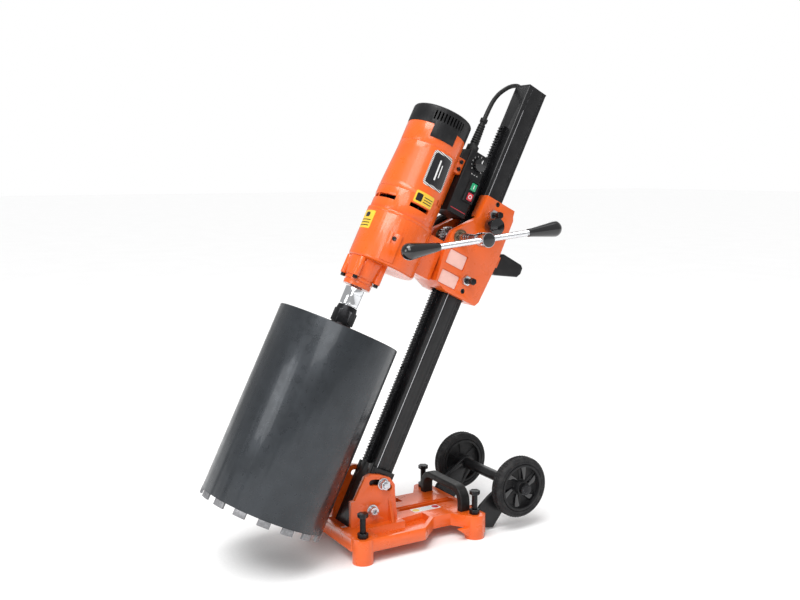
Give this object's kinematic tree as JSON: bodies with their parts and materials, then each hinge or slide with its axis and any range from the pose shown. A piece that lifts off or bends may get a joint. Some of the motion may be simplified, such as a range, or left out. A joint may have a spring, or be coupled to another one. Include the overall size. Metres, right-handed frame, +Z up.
{
  "type": "core drill rig",
  "caption": "Stand-mounted diamond core drill: tilting rack mast on a wheeled base, geared feed carriage, motor and large open core bit.",
  "frame": {"origin": "floor level under the centre of the base's anchor slot", "axes": "+Z up; -Y towards the core bit, +Y towards the transport wheels; +X towards the side with the feed handle, switch buttons and lock knob"},
  "size_m": [0.2853, 0.8034, 0.9495],
  "materials": {
    "orange_paint": "gloss orange paint on cast aluminium",
    "black_paint": "satin",
    "black_oxide": "black oxide, satin",
    "zinc": "zinc plated",
    "steel": "machined",
    "chrome": "polished",
    "barrel_steel": "dark blue-grey satin",
    "segment": "sintered, ground",
    "black_plastic": "fine grain",
    "gloss_black": "smooth",
    "rubber": "soft",
    "tyre": "moulded",
    "bronze": "turned",
    "pad_plastic": "acetal",
    "green": "smooth",
    "red": "smooth",
    "copper": "windings"
  },
  "bodies": {
    "base": {"base_casting": "orange_paint", "levelling_nuts": "black_oxide", "pivot_bolt": "zinc", "wheel_bracket_left": "black_paint", "wheel_bracket_right": "black_paint", "axle_tube": "black_paint", "axle_rod": "steel", "base_bolts": "black_oxide", "carry_handle": "rubber"},
    "mast": {"mast_tube": "black_paint", "gear_rack": "black_oxide", "mast_cap": "black_plastic", "mast_foot": "black_paint", "mast_screws": "black_oxide", "tilt_clamp_bolt": "zinc", "tilt_clamp_nuts": "zinc"},
    "carriage": {"carriage_casting": "orange_paint", "guide_pads": "pad_plastic", "guide_screws": "black_oxide", "carriage_screws": "black_oxide", "shaft_bushes": "bronze", "motor_mount": "orange_paint", "cord_hook": "black_paint", "gear_housing": "orange_paint", "nose": "orange_paint", "motor_housing": "orange_paint", "motor_cap": "black_plastic", "stator": "copper", "brush_gear": "black_plastic", "bearings": "steel", "switch_box": "black_plastic", "strain_relief": "rubber", "power_cord": "rubber", "cord_coil": "rubber", "power_plug": "rubber"},
    "feed_handle": {"pinion_shaft": "steel", "handle_hub": "chrome", "handle_bar": "chrome", "handle_grips": "gloss_black"},
    "lock_knob": {"lock_knob": "gloss_black"},
    "clamp_lever": {"clamp_lever": "black_plastic"},
    "spindle": {"spindle": "chrome", "spindle_gear": "steel", "bit_coupler": "black_oxide", "core_bit": "barrel_steel", "bit_segments": "segment"},
    "layshaft": {"intermediate_gears": "steel"},
    "armature": {"armature": "copper", "fan": "black_plastic"},
    "start_button": {"start_button": "green"},
    "stop_button": {"stop_button": "red"},
    "speed_dial": {"speed_dial": "gloss_black"},
    "wheel_left": {"wheel_rim_left": "black_plastic", "tyre_left": "tyre"},
    "wheel_right": {"wheel_rim_right": "black_plastic", "tyre_right": "tyre"},
    "levelling_screw_front_left": {"levelling_screw_front_left": "black_oxide"},
    "levelling_screw_front_right": {"levelling_screw_front_right": "black_oxide"},
    "levelling_screw_rear_left": {"levelling_screw_rear_left": "black_oxide"},
    "levelling_screw_rear_right": {"levelling_screw_rear_right": "black_oxide"}
  },
  "joints": [
    {"name": "mast_tilt", "type": "hinge", "parent": "base", "child": "mast", "pos_m": [0, -0.1575, 0.0784], "axis": [-1, 0, 0], "range_deg": [-26.31, 18.69]},
    {"name": "carriage_feed", "type": "slide", "parent": "mast", "child": "carriage", "axis": [0, 0.4432, 0.8964], "range_m": [-0.34, 0.25]},
    {"name": "feed_handle_turn", "type": "hinge", "parent": "carriage", "child": "feed_handle", "pos_m": [0, 0.05187, 0.62413], "axis": [1, 0, 0], "range_deg": [-800, 1090]},
    {"name": "lock_knob_turn", "type": "hinge", "parent": "carriage", "child": "lock_knob", "pos_m": [0, 0.12038, 0.64492], "axis": [1, 0, 0], "range_deg": [-360, 0]},
    {"name": "clamp_lever_swing", "type": "hinge", "parent": "carriage", "child": "clamp_lever", "pos_m": [0, 0.15785, 0.56727], "axis": [1, 0, 0], "range_deg": [0, 30]},
    {"name": "spindle_spin", "type": "hinge", "parent": "carriage", "child": "spindle", "pos_m": [0, -0.20204, 0.45963], "axis": [0, 0.4432, 0.8964], "continuous": true},
    {"name": "layshaft_spin", "type": "hinge", "parent": "carriage", "child": "layshaft", "pos_m": [-0.02744, -0.10484, 0.6213], "axis": [0, 0.4432, 0.8964], "continuous": true},
    {"name": "armature_spin", "type": "hinge", "parent": "carriage", "child": "armature", "pos_m": [0, -0.02717, 0.73907], "axis": [0, 0.4432, 0.8964], "continuous": true},
    {"name": "start_button_press", "type": "slide", "parent": "carriage", "child": "start_button", "axis": [-1, 0, 0], "range_m": [0, 0.003], "stiffness_N_per_m": 600},
    {"name": "stop_button_press", "type": "slide", "parent": "carriage", "child": "stop_button", "axis": [-1, 0, 0], "range_m": [0, 0.003], "stiffness_N_per_m": 600},
    {"name": "speed_dial_turn", "type": "hinge", "parent": "carriage", "child": "speed_dial", "pos_m": [0.04, 0.10462, 0.77097], "axis": [1, 0, 0], "range_deg": [-135, 135]},
    {"name": "wheel_left_spin", "type": "hinge", "parent": "base", "child": "wheel_left", "pos_m": [-0.111, 0.1625, 0.093], "axis": [1, 0, 0], "continuous": true},
    {"name": "wheel_right_spin", "type": "hinge", "parent": "base", "child": "wheel_right", "pos_m": [0.111, 0.1625, 0.093], "axis": [1, 0, 0], "continuous": true},
    {"name": "levelling_front_left_travel", "type": "slide", "parent": "base", "child": "levelling_screw_front_left", "axis": [0, 0, -1], "range_m": [0, 0.028]},
    {"name": "levelling_front_right_travel", "type": "slide", "parent": "base", "child": "levelling_screw_front_right", "axis": [0, 0, -1], "range_m": [0, 0.028]},
    {"name": "levelling_rear_left_travel", "type": "slide", "parent": "base", "child": "levelling_screw_rear_left", "axis": [0, 0, -1], "range_m": [0, 0.028]},
    {"name": "levelling_rear_right_travel", "type": "slide", "parent": "base", "child": "levelling_screw_rear_right", "axis": [0, 0, -1], "range_m": [0, 0.028]}
  ],
  "couplings": [
    {"joint": "feed_handle_turn", "follows": "carriage_feed", "rad_per_m": -55.556},
    {"joint": "layshaft_spin", "follows": "spindle_spin", "ratio": -3.2},
    {"joint": "armature_spin", "follows": "spindle_spin", "ratio": 17.6}
  ]
}
